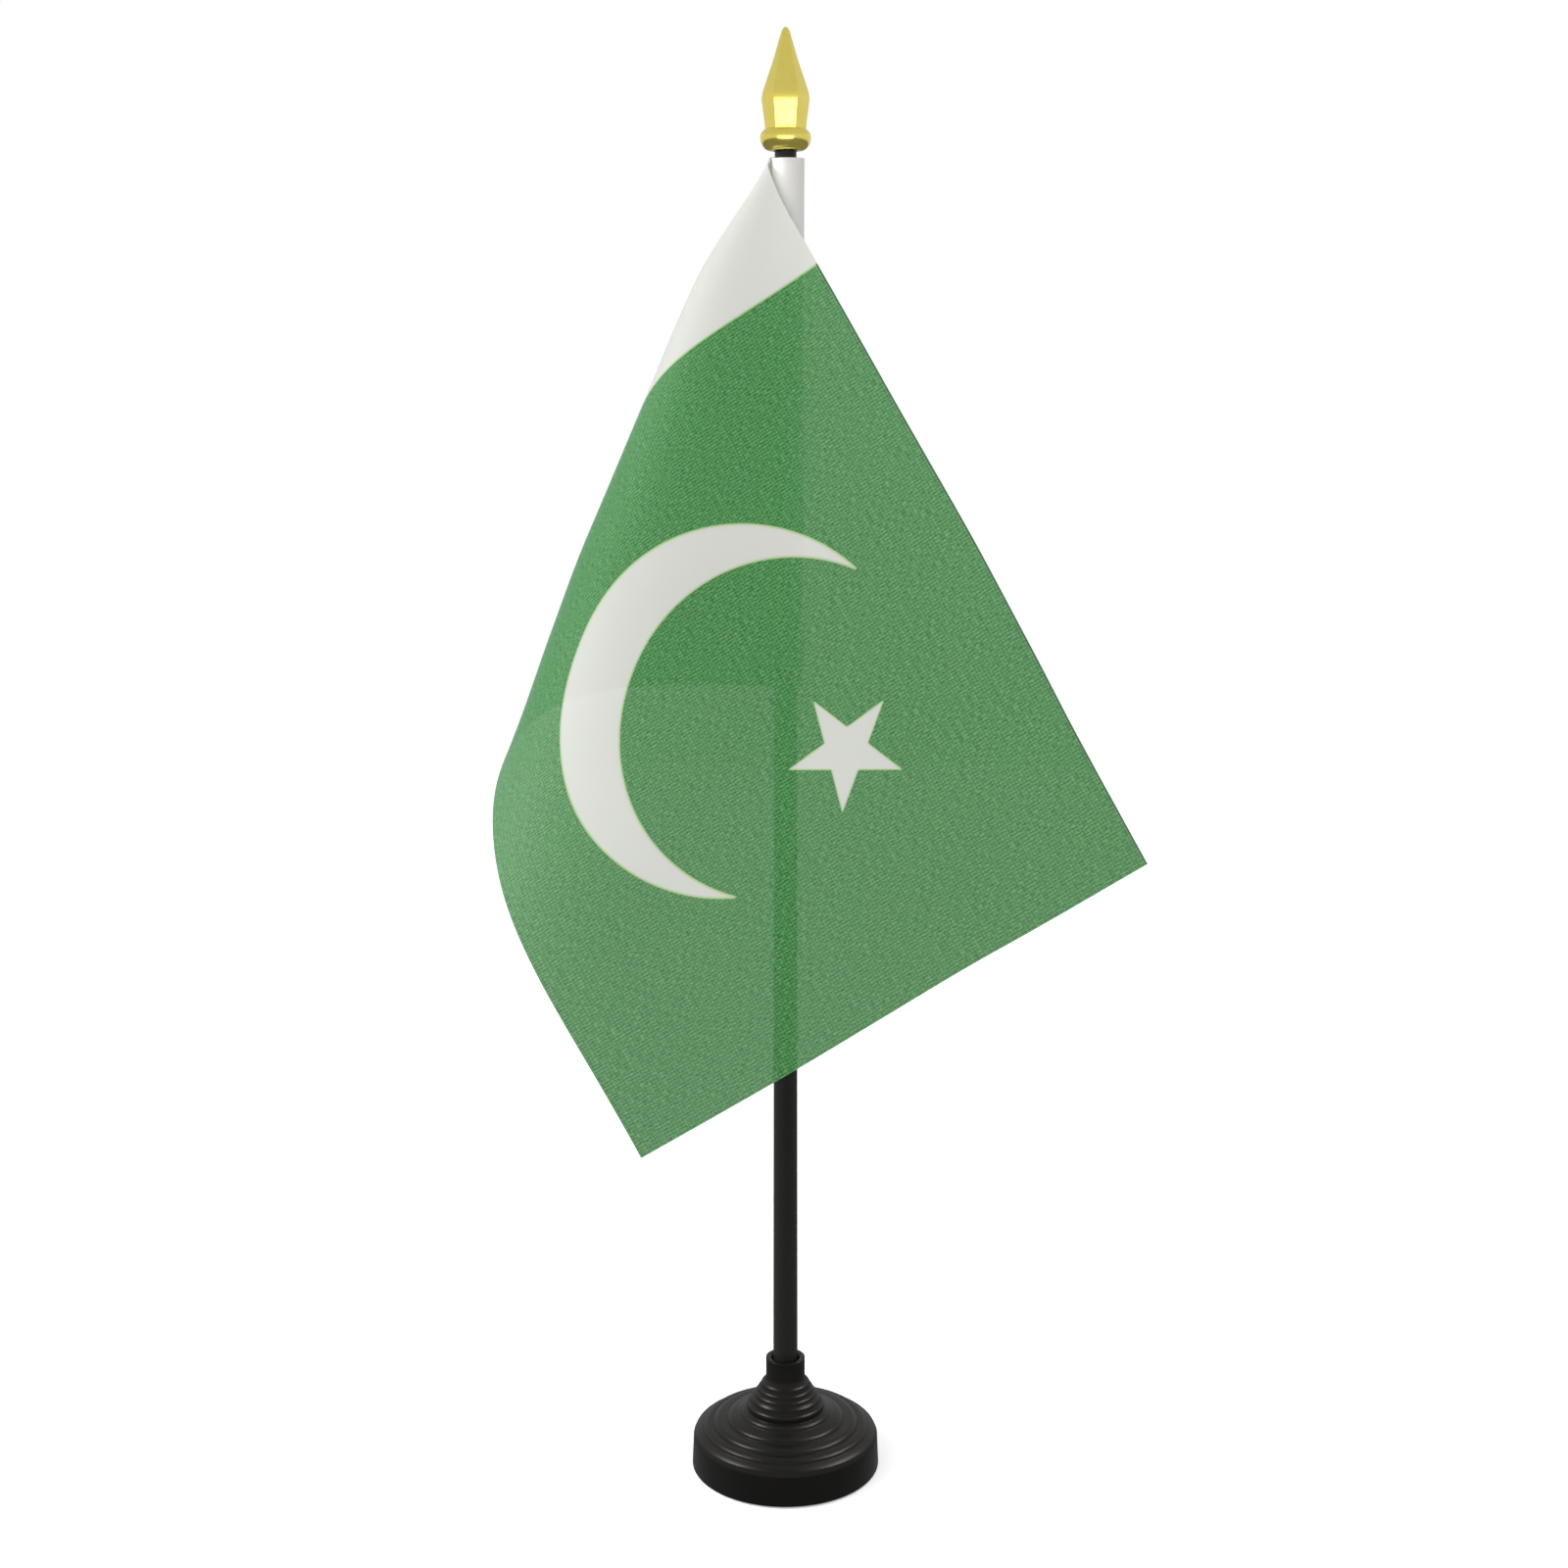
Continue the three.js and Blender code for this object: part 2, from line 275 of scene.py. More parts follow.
def moulded_black(name, grain_mm, shades, gloss, shine, streaks=False):
    """Black ABS, injection moulded: satin, nearly black, with a fine spark-eroded grain that breaks up
    the highlights, and faint lengthwise drag marks on the pole."""
    material, tree = new_material(name)
    place = add_node(tree, "ShaderNodeTexCoord").outputs["Object"]
    stretch = (1, 1, 0.06) if streaks else (1, 1, 1)
    stretched = add_node(tree, "ShaderNodeMapping", {"Vector": place, "Scale": stretch})
    grain = add_node(
        tree, "ShaderNodeTexNoise", {"Vector": stretched, "Scale": 1 / (grain_mm * MM), "Detail": 3.0}
    )
    # The moulding's sheen varies in clouds about 9 mm wide.
    clouds = add_node(tree, "ShaderNodeTexNoise", {"Vector": stretched, "Scale": 1 / (9 * MM), "Detail": 2.0})
    colour = add_node(
        tree, "ShaderNodeMix", {"Factor": clouds, "A": linear(shades[0]), "B": linear(shades[1])},
        data_type="RGBA",
    )
    rough = add_node(tree, "ShaderNodeMapRange", {"Value": clouds, "To Min": gloss, "To Max": gloss + 0.12})
    bump = add_node(tree, "ShaderNodeBump", {"Height": grain, "Strength": 0.25, "Distance": 0.02 * MM})
    shader = add_node(
        tree, "ShaderNodeBsdfPrincipled",
        {"Base Color": colour, "Roughness": rough, "Normal": bump, "IOR": 1.5, "Specular IOR Level": shine,
         "Specular Tint": (1.0, 0.9, 0.8, 1)},
    )
    add_node(tree, "ShaderNodeOutputMaterial", {"Surface": shader})
    return material


def gold_plating():
    """Vacuum-metallised gold on moulded plastic: bright yellow and mirror-like, with the soft waviness of
    the moulding below, which bends its reflections, and a lacquer that blurs them a little."""
    material, tree = new_material("gold_plating")
    place = add_node(tree, "ShaderNodeTexCoord").outputs["Object"]
    waves = add_node(tree, "ShaderNodeTexNoise", {"Vector": place, "Scale": 1 / (2.4 * MM), "Detail": 2.0})
    specks = add_node(tree, "ShaderNodeTexNoise", {"Vector": place, "Scale": 1 / (0.5 * MM), "Detail": 3.0})
    rough = add_node(tree, "ShaderNodeMapRange", {"Value": specks, "To Min": 0.18, "To Max": 0.26})
    colour = add_node(
        tree, "ShaderNodeMix", {"Factor": waves, "A": linear("#f4e062"), "B": linear("#fbea80")},
        data_type="RGBA",
    )
    bump = add_node(tree, "ShaderNodeBump", {"Height": waves, "Strength": 0.15, "Distance": 0.012 * MM})
    shader = add_node(
        tree, "ShaderNodeBsdfPrincipled",
        {"Base Color": colour, "Metallic": 1.0, "Roughness": rough, "Normal": bump},
    )
    add_node(tree, "ShaderNodeOutputMaterial", {"Surface": shader})
    return material


def inside(tree, distance, limit, bleed=INK_BLEED):
    """1 where a distance is under a limit, 0 past it, with a soft edge as wide as the ink's bleed."""
    return add_node(
        tree, "ShaderNodeMapRange",
        {"Value": distance, "From Min": limit - bleed / 2, "From Max": limit + bleed / 2,
         "To Min": 1.0, "To Max": 0.0},
    )


def disc(tree, flat, circle):
    """1 inside a circle of the flat cloth, 0 outside."""
    x, y, radius = circle
    distance = add_node(tree, "ShaderNodeVectorMath", {0: flat, 1: (x, y, 0)}, operation="DISTANCE")
    return inside(tree, distance, radius)


def star(tree, flat):
    """1 inside the five-pointed star: the ground that is inside at least four of its five lines."""
    from_centre = add_node(
        tree, "ShaderNodeVectorMath", {0: flat, 1: (*STAR_CENTRE, 0)}, operation="SUBTRACT"
    )
    line = STAR_RADIUS * math.cos(math.radians(72))
    lines = 0.0
    for tip in range(5):
        angle = math.radians(STAR_TURN + 72 * tip)
        reach = add_node(
            tree, "ShaderNodeVectorMath", {0: from_centre, 1: (math.cos(angle), math.sin(angle), 0)},
            operation="DOT_PRODUCT",
        )
        within = inside(tree, reach, line, STAR_BLEED)
        lines = add_node(tree, "ShaderNodeMath", {0: lines, 1: within}, operation="ADD")
    return add_node(tree, "ShaderNodeMath", {0: lines, 1: 3.0}, operation="SUBTRACT", use_clamp=True)


def white_print(tree, flat, along):
    """1 on the unprinted parts of the flag: hoist stripe, crescent and star."""
    crescent = add_node(
        tree, "ShaderNodeMath", {0: disc(tree, flat, CRESCENT_OUTER), 1: disc(tree, flat, CRESCENT_INNER)},
        operation="SUBTRACT", use_clamp=True,
    )
    bare = inside(tree, along, STRIPE_WIDTH)
    for figure in (crescent, star(tree, flat)):
        bare = add_node(tree, "ShaderNodeMath", {0: bare, 1: figure}, operation="MAXIMUM")
    return bare


def weave(tree, flat, along, up):
    """The height of the threads: upright flecks, longer than they are wide, on fine even ribs both ways."""
    stretched = add_node(tree, "ShaderNodeMapping", {"Vector": flat, "Scale": (1 / 0.21, 1 / 0.9, 1)})
    threads = add_node(tree, "ShaderNodeTexNoise", {"Vector": stretched, "Scale": 1.0, "Detail": 2.0})
    for across, height in ((along, 0.09), (up, 0.05)):
        turns = add_node(
            tree, "ShaderNodeMath", {0: across, 1: 2 * math.pi / RIB_SPACING}, operation="MULTIPLY"
        )
        rib = add_node(tree, "ShaderNodeMath", {0: turns}, operation="SINE")
        rib = add_node(tree, "ShaderNodeMath", {0: rib, 1: height}, operation="MULTIPLY")
        threads = add_node(tree, "ShaderNodeMath", {0: threads, 1: rib}, operation="ADD")
    return threads


def green_print(tree, flat, along, up, threads):
    """Green ink round the white figures. The ink soaks in and bleeds, which leaves a thin pale line round
    each figure. A thin dark line of painted shade runs along the top edge of the green, standing in for the
    shade where that edge curls."""
    ink = add_node(tree, "ShaderNodeValToRGB", {"Fac": threads})
    ramp = ink.color_ramp.elements
    ramp[0].position = 0.3
    ramp[0].color = linear("#306c38")
    ramp[1].position = 0.72
    ramp[1].color = linear("#74ae70")
    ramp.new(0.5).color = linear("#4a904f")
    bare = white_print(tree, flat, along)
    past_edge = add_node(tree, "ShaderNodeMath", {0: bare, 1: 0.5}, operation="SUBTRACT")
    from_edge = add_node(tree, "ShaderNodeMath", {0: past_edge}, operation="ABSOLUTE")
    doubled = add_node(tree, "ShaderNodeMath", {0: past_edge, 1: 2.0}, operation="MULTIPLY", use_clamp=True)
    # Painted shade: a thin dark band along the top edge of the green, in place of the shade of its curl.
    at_top = add_node(tree, "ShaderNodeMath", {0: up, 1: FLAG_HOIST - SHADED_TOP_EDGE}, operation="GREATER_THAN")
    on_green = add_node(tree, "ShaderNodeMath", {0: along, 1: STRIPE_WIDTH}, operation="GREATER_THAN")
    top_edge_shade = add_node(tree, "ShaderNodeMath", {0: at_top, 1: on_green}, operation="MULTIPLY")
    colour = ink
    for share, over in (
        (inside(tree, from_edge, 0.3, 0.3), "#b6cf8e"),
        (doubled, "#d6d7d2"),
        # the painted shade along the top edge is dark green
        (top_edge_shade, "#2f5c35"),
    ):
        colour = add_node(
            tree, "ShaderNodeMix", {"Factor": share, "A": colour, "B": linear(over)}, data_type="RGBA"
        )
    return colour


def woven_polyester(name, printed):
    """Light plain-weave polyester: soft sheen, slightly see-through, with fine ribs. The threads are about
    0.45 mm apart; they are drawn at 0.62 mm, as fine as shows. The flag is printed by dye sublimation, and
    the sleeve is plain white and two layers thick, so less light comes through it."""
    material, tree = new_material(name)
    place = add_node(tree, "ShaderNodeTexCoord").outputs["UV"]
    flat = add_node(tree, "ShaderNodeMapping", {"Vector": place, "Scale": (FLAG_FLY, FLAG_HOIST, 1)})
    parts = add_node(tree, "ShaderNodeSeparateXYZ", {"Vector": flat})
    along, up = parts.outputs["X"], parts.outputs["Y"]
    threads = weave(tree, flat, along, up)
    if printed:
        colour = green_print(tree, flat, along, up, threads)
        glow_share, gap_share = 0.38, 0.185
    else:
        colour = add_node(
            tree, "ShaderNodeMix", {"Factor": threads, "A": linear("#efedea"), "B": linear("#f6f5f2")},
            data_type="RGBA",
        )
        glow_share, gap_share = 0.16, 0.08
    bump = add_node(tree, "ShaderNodeBump", {"Height": threads, "Strength": 0.18, "Distance": 0.06 * MM})
    surface = add_node(
        tree, "ShaderNodeBsdfPrincipled",
        {"Base Color": colour, "Roughness": 0.5, "Normal": bump, "Specular IOR Level": 0.35,
         "Sheen Weight": 0.45, "Sheen Roughness": 0.4, "Sheen Tint": (0.7, 1.0, 0.9, 1)},
    )
    glow = add_node(tree, "ShaderNodeBsdfTranslucent", {"Color": colour, "Normal": bump})
    cloth = add_node(tree, "ShaderNodeMixShader", {0: glow_share, 1: surface, 2: glow})
    gaps = add_node(tree, "ShaderNodeBsdfTransparent", {"Color": (1, 1, 1, 1)})
    whole = add_node(tree, "ShaderNodeMixShader", {0: gap_share, 1: cloth, 2: gaps})
    add_node(tree, "ShaderNodeOutputMaterial", {"Surface": whole})
    return material


def stamped_steel():
    """Plain steel, blanked from sheet: dull grey with fine rolling lines."""
    material, tree = new_material("stamped_steel")
    place = add_node(tree, "ShaderNodeTexCoord").outputs["Object"]
    stretched = add_node(tree, "ShaderNodeMapping", {"Vector": place, "Scale": (0.05, 1, 1)})
    lines = add_node(
        tree, "ShaderNodeTexNoise", {"Vector": stretched, "Scale": 1 / (0.3 * MM), "Detail": 3.0}
    )
    rough = add_node(tree, "ShaderNodeMapRange", {"Value": lines, "To Min": 0.35, "To Max": 0.6})
    shader = add_node(
        tree, "ShaderNodeBsdfPrincipled",
        {"Base Color": linear("#9a9c9e"), "Metallic": 1.0, "Roughness": rough},
    )
    add_node(tree, "ShaderNodeOutputMaterial", {"Surface": shader})
    return material


def foam_rubber():
    """Closed-cell foam rubber sheet: matt black with tiny cut cells."""
    material, tree = new_material("foam_rubber")
    place = add_node(tree, "ShaderNodeTexCoord").outputs["Object"]
    cells = add_node(tree, "ShaderNodeTexVoronoi", {"Vector": place, "Scale": 1 / (0.5 * MM)})
    bump = add_node(tree, "ShaderNodeBump", {"Height": cells, "Strength": 0.6, "Distance": 0.1 * MM})
    shader = add_node(
        tree, "ShaderNodeBsdfPrincipled",
        {"Base Color": linear("#232425"), "Roughness": 0.95, "Normal": bump},
    )
    add_node(tree, "ShaderNodeOutputMaterial", {"Surface": shader})
    return material


def spun_thread():
    """White spun polyester sewing thread: matt, with a twist that shows as slanting lines."""
    material, tree = new_material("spun_thread")
    place = add_node(tree, "ShaderNodeTexCoord").outputs["Object"]
    twist = add_node(
        tree, "ShaderNodeTexWave", {"Vector": place, "Scale": 1 / (0.9 * MM), "Distortion": 1.0},
        bands_direction="DIAGONAL",
    ).outputs["Fac"]
    colour = add_node(
        tree, "ShaderNodeMix", {"Factor": twist, "A": linear("#cfceca"), "B": linear("#efeeea")},
        data_type="RGBA",
    )
    shader = add_node(tree, "ShaderNodeBsdfPrincipled", {"Base Color": colour, "Roughness": 0.9})
    add_node(tree, "ShaderNodeOutputMaterial", {"Surface": shader})
    return material


# ---------------------------------------------------------------- camera, light, floor


def studio_camera(scene):
    camera = bpy.data.cameras.new("camera")
    camera.lens = 50.5
    camera.sensor_width = 36.0
    holder = bpy.data.objects.new("camera", camera)
    holder.location = (-0.0003, -0.430, 0.2326)
    holder.rotation_euler = (math.radians(90 - 11.3), 0, 0)
    scene.collection.objects.link(holder)
    scene.camera = holder


def studio_room(scene):
    """The room as the stand sees it, with a bright wall, a dimmer ceiling and dark below. The camera sees
    plain white."""
    world = bpy.data.worlds.new("studio")
    world.use_nodes = True
    scene.world = world
    tree = world.node_tree
    tree.nodes.clear()
    way = add_node(tree, "ShaderNodeTexCoord").outputs["Generated"]
    height = add_node(tree, "ShaderNodeSeparateXYZ", {"Vector": way}).outputs["Z"]
    wall = add_node(
        tree, "ShaderNodeMapRange",
        {"Value": height, "From Min": -0.3, "From Max": -0.1, "To Min": UNDER_LIGHT, "To Max": WALL_LIGHT},
        interpolation_type="SMOOTHSTEP",
    )
    dimming = add_node(
        tree, "ShaderNodeMapRange",
        {"Value": height, "From Min": 0.15, "From Max": 0.55, "To Min": 0.0,
         "To Max": WALL_LIGHT - CEILING_LIGHT},
        interpolation_type="SMOOTHSTEP",
    )
    room = add_node(tree, "ShaderNodeMath", {0: wall, 1: dimming}, operation="SUBTRACT")
    to_camera = add_node(tree, "ShaderNodeLightPath").outputs["Is Camera Ray"]
    strength = add_node(tree, "ShaderNodeMath", {0: room, 1: to_camera}, operation="MAXIMUM")
    sky = add_node(tree, "ShaderNodeBackground", {"Color": (1, 1, 1, 1), "Strength": strength})
    add_node(tree, "ShaderNodeOutputWorld", {"Surface": sky})


def studio_lights(scene):
    """All the lights, by name."""
    lamps = {}
    for name, place, size, power, on_matt in LIGHTS:
        light = bpy.data.lights.new(name, "AREA")
        light.shape = "RECTANGLE"
        light.size, light.size_y = size
        light.energy = power
        lamp = bpy.data.objects.new(name, light)
        lamp.location = place
        lamp.rotation_euler = (Vector(LIGHT_AIM) - Vector(place)).to_track_quat("-Z", "Y").to_euler()
        lamp.visible_camera = False
        lamp.visible_diffuse = lamp.visible_transmission = on_matt
        lamp.visible_glossy = not on_matt
        scene.collection.objects.link(lamp)
        lamps[name] = lamp
    return lamps


def studio_floor():
    """A white paper sweep. The stand sees a dimmer floor than the camera does."""
    deselect()
    bpy.ops.mesh.primitive_circle_add(vertices=96, radius=0.8, fill_type="NGON")
    floor = bpy.context.object
    floor.name = "floor"
    material, tree = new_material("white_paper_sweep")
    paper = add_node(
        tree, "ShaderNodeBsdfPrincipled",
        {"Base Color": (0.93, 0.93, 0.93, 1), "Roughness": 0.9, "Specular IOR Level": 0.1,
         "Emission Color": (1, 1, 1, 1), "Emission Strength": 0.4},
    )
    path = add_node(tree, "ShaderNodeLightPath").outputs
    bounce = add_node(
        tree, "ShaderNodeMapRange",
        {"Value": path["Is Glossy Ray"], "To Min": FLOOR_BOUNCE, "To Max": FLOOR_MIRRORED},
    )
    dim = add_node(tree, "ShaderNodeEmission", {"Color": (1, 1, 1, 1), "Strength": bounce})
    sweep = add_node(tree, "ShaderNodeMixShader", {0: path["Is Camera Ray"], 1: dim, 2: paper})
    add_node(tree, "ShaderNodeOutputMaterial", {"Surface": sweep})
    floor.data.materials.append(material)


def light_only(lamp, *pieces):
    """Makes a light shine on some pieces and no others."""
    lit = bpy.data.collections.new(lamp.name + " lights")
    for piece in pieces:
        lit.objects.link(piece)
    lamp.light_linking.receiver_collection = lit


# ---------------------------------------------------------------- the base, the pole and the finial


def base_moulding(material):
    """The hollow base, from its inner post's foot, round under the rim, up the rings and down the bore."""
    rings = [
        (5.2, 3.4), (5.2, 12.4), (8.0, 9.8), (12.0, 8.6), (15.4, 7.6), (18.1, 5.9), (18.1, BASE_FOOT),
        (BASE_RADIUS, BASE_FOOT), (19.4, 6.8), (19.0, 7.7), (18.3, 8.2),
    ]
    for grooves, nose in ((BROAD_GROOVES, BROAD_NOSE), (FINE_GROOVES, FINE_NOSE)):
        for radius, height in grooves:
            rings += [(radius - back, height + up) for back, up in nose]
    rings += [
        (NECK_RADIUS + 0.2, 19.3), (NECK_RADIUS, 19.9), (NECK_RADIUS, NECK_TOP),
        (BORE_RADIUS + 0.35, NECK_TOP), (BORE_RADIUS, NECK_TOP - 0.5), (BORE_RADIUS, SOCKET_FLOOR),
    ]
    piece = turned_piece(rings, BASE_SIDES)
    round_off(piece, 0.16, over=20)
    return finish_piece(piece, "base_moulding", material, "base", "base_plastic", "base_shell")


def pole_rod(material):
    """The tapered pole, with rounded ends."""
    rings = [
        (POLE_RADIUS_FOOT - POLE_END, POLE_FOOT), (POLE_RADIUS_FOOT, POLE_FOOT + POLE_END),
        (POLE_RADIUS_HEAD, POLE_HEAD - POLE_END), (POLE_RADIUS_HEAD - POLE_END, POLE_HEAD),
    ]
    piece = turned_piece(rings, POLE_SIDES)
    round_off(piece, 0.15)
    return finish_piece(piece, "pole_rod", material, "pole", "pole_plastic", "pole")


def finial_spear(material):
    """A six-sided spear on a round cup, moulded in one with a socket for the pole."""
    foot, tip = FINIAL_FOOT, FINIAL_TIP
    outline = [
        (3.9, foot + 2.6), (3.95, foot + 4.9), (4.08, foot + 6.2), (4.36, foot + 8.2), (4.52, foot + 9.5),
        (4.54, foot + 10.1), (4.42, foot + 10.9), (4.12, foot + 11.9), (2.4, foot + 16.8), (0.85, tip - 0.85),
        (0.55, tip - 0.25), (0.2, tip),
    ]
    spear = turned_piece(outline, SPEAR_SIDES, turn=math.pi / 6)
    round_off(spear, 0.5, segments=4, over=16)
    bowl = []
    for turn in range(-84, 61, 8):
        depth = CUP_BELOW if turn < 0 else CUP_ABOVE
        across, upward = math.cos(math.radians(turn)), math.sin(math.radians(turn))
        bowl.append((CUP_CORE + CUP_BULGE * across, foot + CUP_WIDEST + depth * upward))
    cup = turned_piece(bowl, CUP_SIDES)
    bore = turned_piece([(2.4, foot - 1), (2.35, POLE_HEAD + 0.3)], 64)
    apply_modifier(spear, "BOOLEAN", operation="UNION", object=cup, solver="EXACT")
    apply_modifier(spear, "BOOLEAN", operation="DIFFERENCE", object=bore, solver="EXACT")
    for tool in (cup, bore):
        bpy.data.objects.remove(tool, do_unlink=True)
    shade_smooth(spear, 40)
    return finish_piece(spear, "finial_spear", material, "finial", "finial_gold", "finial")


# ---------------------------------------------------------------- the flag


def drape_fan():
    """Directions and normals of the drape's straight lines, by whole steps of angle round its tip."""
    step = math.radians(FAN_STEP)
    fold_at, fold_width = math.radians(DRAPE_FOLD_AT), math.radians(DRAPE_FOLD_WIDTH)
    fold_peak = math.radians(DRAPE_FOLD_TURN) / (fold_width * math.sqrt(2 * math.pi))
    heading = math.radians(DRAPE_HEADING)
    along = Vector((0, 0, -1))
    across = Vector((-math.cos(heading), math.sin(heading), 0))
    fan = []
    for i in range(int(90 / FAN_STEP) + 2):
        fan.append((along.copy(), along.cross(across)))
        middle = (i + 0.5) * step
        bend = DRAPE_LEAD + fold_peak * math.exp(-0.5 * ((middle - fold_at) / fold_width) ** 2)
        if middle > fold_at:
            bend += DRAPE_FRONT
        turn = along.cross(across) + along * bend
        spin = Quaternion(turn.normalized(), turn.length * step)
        along = (spin @ along).normalized()
        across = (spin @ across).normalized()
    return fan


def profile_at(profile, place):
    """The height at one place of a smooth curve through points of place and height."""
    last = len(profile) - 2
    at = max(0, min(last, sum(place >= start for start, _ in profile) - 1))
    (start, low), (end, high) = profile[at], profile[at + 1]
    before, after = profile[max(at - 1, 0)], profile[min(at + 2, last + 1)]
    share = min(max((place - start) / (end - start), 0), 1)
    slope_in = (high - before[1]) / (end - before[0]) * (end - start)
    slope_out = (after[1] - low) / (after[0] - start) * (end - start)
    rest = 1 - share
    return (
        low * (1 + 2 * share) * rest**2 + high * (3 - 2 * share) * share**2
        + slope_in * share * rest**2 - slope_out * rest * share**2
    )


def hill(distance, width):
    """A bell curve: 1 in the middle, and about a third of that one width away."""
    return math.exp(-((distance / width) ** 2))


def ripple(x, y):
    """Small waves in the cloth, none at the seam and the top corner."""
    free = min(1.0, math.hypot(x, y * 0.3) / 60)
    wave = 0.5 * math.sin(x / 11.0 + y / 19.0) + 0.35 * math.sin(x / 23.0 - y / 9.0 + 1.3)
    fine = 0.5 * noise.noise(Vector((x / 16, y / 16, 3.7)))
    return free * (wave + fine) * RIPPLE_DEPTH


def eased(x, y):
    """A place in the flat cloth after its edges have sagged, bowed out or drawn in."""
    if y > HEM_SAG_FROM:
        low = (y - HEM_SAG_FROM) / (FLAG_HOIST - HEM_SAG_FROM)
        y += HEM_SAG * low * low * hill(x - HEM_SAG_AT, HEM_SAG_WIDTH)
    from_free = FLAG_FLY - x
    if 0 < x and y < TOP_BOW_DEPTH:
        y -= profile_at(TOP_BOW, x) * (1 - y / TOP_BOW_DEPTH) ** 2
    if from_free < FREE_BOW_DEPTH:
        x -= profile_at(FREE_BOW, y) * (1 - from_free / FREE_BOW_DEPTH) ** 2
    return x, y


def draped(fan, x, y, out=0.0):
    """A place in the flat cloth, x from the seam and y down from the top edge, as it hangs."""
    x, y = eased(x, y)
    fly = max(x, 0.0)
    reach = math.hypot(fly, y + DRAPE_TIP)
    angle = math.atan2(fly, y + DRAPE_TIP)
    place = math.degrees(angle) / FAN_STEP
    low = int(place)
    share = place - low
    along = fan[low][0].lerp(fan[low + 1][0], share)
    normal = fan[low][1].lerp(fan[low + 1][1], share)
    stretch = 1 + DRAPE_GIVE * min(angle / DRAPE_GIVE_BY, 1)
    stand = profile_at(FOLD_STANDS, reach) * hill(math.degrees(angle) - FOLD_STANDS_AT, FOLD_SPREAD)
    point = Vector((SEAM_X, 0, SLEEVE_HEAD + DRAPE_TIP)) + along * reach * stretch
    point += normal * (ripple(fly, y) + stand + out)
    point.x += DRAPE_TUCK * hill(reach, DRAPE_TUCK_REACH)
    point.x += DRAPE_PINCH * hill(reach, DRAPE_PINCH_REACH) * min(fly / DRAPE_PINCH_START, 1)
    if x < 0:  # the seam allowance, straight back to the sleeve
        heading = math.radians(DRAPE_HEADING)
        point += Vector((math.cos(heading), -math.sin(heading), 0)) * -x
    return point * MM


def cloth_grid(columns, rows):
    """A flat grid of cloth with its own UV map, ready to be hung."""
    deselect()
    bpy.ops.mesh.primitive_grid_add(x_subdivisions=columns, y_subdivisions=rows, size=1, calc_uvs=True)
    return bpy.context.object


def flag_fabric(material, fan):
    """The flag, cut to its flat size and hung from the seam."""
    width = FLAG_FLY + SEAM_ALLOWANCE
    piece = cloth_grid(205, 134)
    for vertex in piece.data.vertices:
        x = (vertex.co.x + 0.5) * width - SEAM_ALLOWANCE
        y = (0.5 - vertex.co.y) * FLAG_HOIST
        vertex.co = draped(fan, x, y)
    for corner in piece.data.uv_layers.active.data:
        corner.uv.x = (corner.uv.x * width - SEAM_ALLOWANCE) / FLAG_FLY
    apply_modifier(piece, "SOLIDIFY", thickness=CLOTH_THICKNESS * MM, offset=0)
    shade_smooth(piece, 60)
    finish_piece(piece, "flag_fabric", material, "flag", "flag_fabric", "flag_cloth")
    return piece


def sleeve_fabric(material):
    """The sleeve: a strip rolled round the pole, drawn to a point where it is sewn to the flag."""
    piece = cloth_grid(96, 101)
    for vertex in piece.data.vertices:
        turn = (vertex.co.x + 0.5) * 2 * math.pi
        z = SLEEVE_FOOT + (vertex.co.y + 0.5) * (FLAG_HOIST - SLEEVE_DROP)
        tail = SLEEVE_TAIL * hill(min(turn, 2 * math.pi - turn), SLEEVE_TAIL_SPREAD)
        tail *= 1 - hill(SLEEVE_HEAD - z, DRAPE_TUCK_REACH)
        slack = SLEEVE_SLACK * noise.noise(Vector((math.cos(turn) * 1.5, math.sin(turn) * 1.5, z / 14)))
        x = SLEEVE_CENTRE_X - (SLEEVE_HALF_WIDTH + tail + slack) * math.cos(turn)
        y = -(SLEEVE_HALF_DEPTH + slack) * math.sin(turn)
        vertex.co = Vector((x, y, z)) * MM
    bpy.ops.object.mode_set(mode="EDIT")
    bpy.ops.mesh.select_all(action="SELECT")
    bpy.ops.mesh.remove_doubles(threshold=0.001 * MM)
    bpy.ops.mesh.normals_make_consistent(inside=False)
    bpy.ops.object.mode_set(mode="OBJECT")
    apply_modifier(piece, "SOLIDIFY", thickness=CLOTH_THICKNESS * MM, offset=-1)
    shade_smooth(piece, 60)
    finish_piece(piece, "sleeve_fabric", material, "flag", "sleeve_fabric", "flag_sleeve")
    return piece


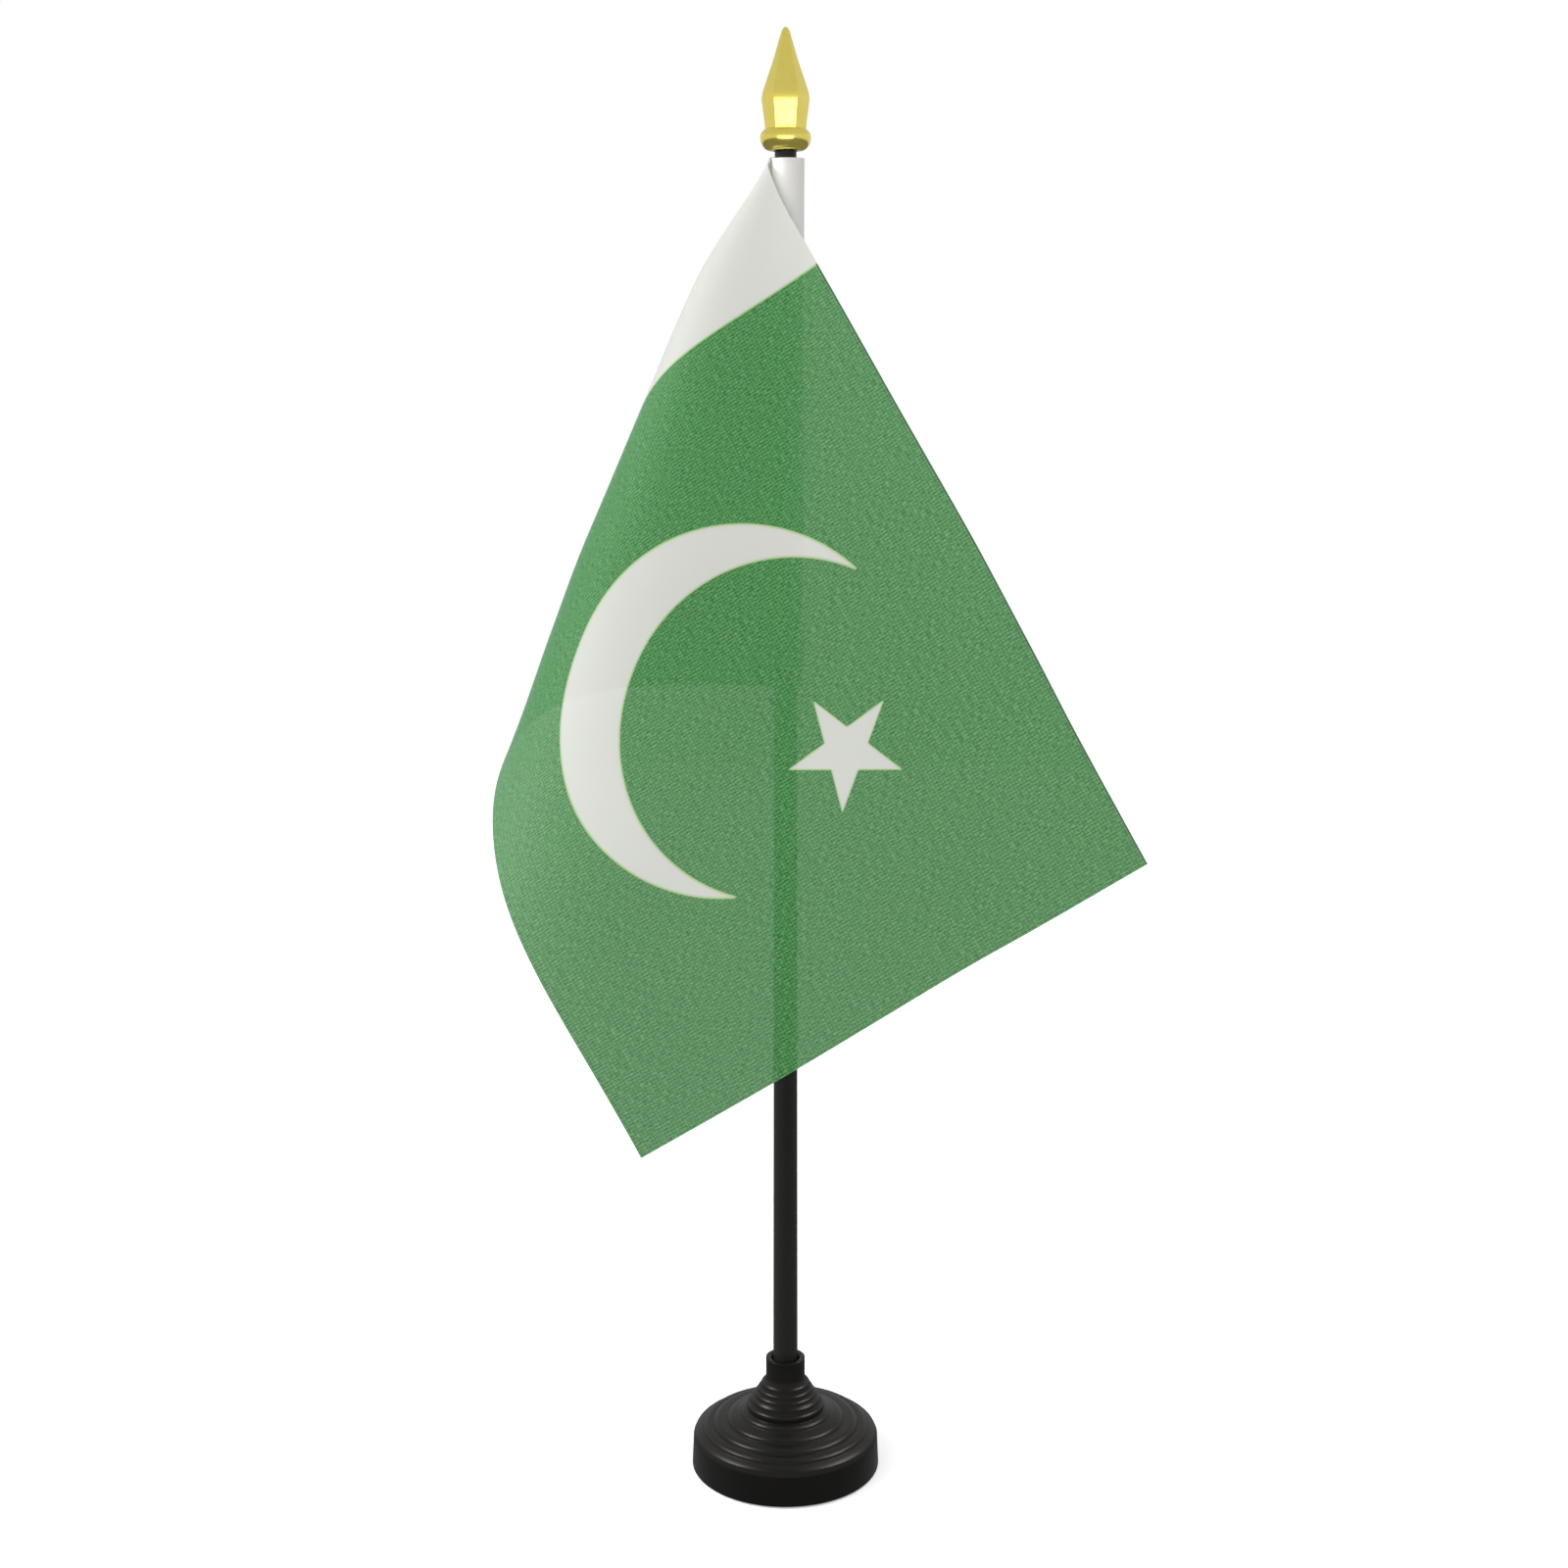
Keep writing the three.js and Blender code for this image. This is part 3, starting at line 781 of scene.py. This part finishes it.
def seam_stitches(material, fan):
    """The row of lockstitches that closes the sleeve, seen on both faces of the cloth."""
    deselect()
    bpy.ops.mesh.primitive_uv_sphere_add(segments=8, ring_count=6, radius=STITCH_RADIUS * MM)
    first = bpy.context.object
    first.scale = (1, 1, STITCH_LENGTH / (2 * STITCH_RADIUS))
    bpy.ops.object.transform_apply(location=False, rotation=False, scale=True)
    bpy.ops.object.shade_smooth()
    stitches = []
    count = int((FLAG_HOIST - 2 * STITCH_MARGIN) / STITCH_PITCH)
    for side in (-1, 1):
        for i in range(count + 1):
            down = STITCH_MARGIN + i * STITCH_PITCH
            stitch = first.copy()
            stitch.data = first.data.copy()
            stitch.location = draped(fan, STITCH_FROM_SEAM, down, side * STITCH_OUT)
            bpy.context.scene.collection.objects.link(stitch)
            stitches.append(stitch)
    bpy.data.objects.remove(first, do_unlink=True)
    deselect()
    for stitch in stitches:
        stitch.select_set(True)
    bpy.context.view_layer.objects.active = stitches[0]
    bpy.ops.object.join()
    seam = bpy.context.object
    return finish_piece(seam, "seam_stitches", material, "flag", "seam_thread", "sleeve_stitching")


# ---------------------------------------------------------------- the whole stand

bpy.context.scene.view_settings.view_transform = "Standard"
studio_camera(bpy.context.scene)
studio_room(bpy.context.scene)
lamps = studio_lights(bpy.context.scene)
studio_floor()

base = base_moulding(moulded_black("moulded_abs_base", 0.22, ("#0d0d0e", "#141514"), 0.28, 0.22))
pole = pole_rod(moulded_black("moulded_abs_pole", 0.3, ("#1c1d1d", "#2a2a29"), 0.28, 0.25, streaks=True))
finial = finial_spear(gold_plating())
fan = drape_fan()
flag = flag_fabric(woven_polyester("printed_polyester", True), fan)
sleeve_fabric(woven_polyester("white_polyester", False))
seam_stitches(spun_thread(), fan)
for node_name, finish in (("ballast_disc", stamped_steel()), ("foot_pad", foam_rubber())):
    for material_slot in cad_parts[node_name].material_slots:
        material_slot.material = finish

light_only(lamps["left strip"], base, pole)
light_only(lamps["right strip"], base, pole)
light_only(lamps["cloth strip"], flag)
light_only(lamps["front card"], finial)
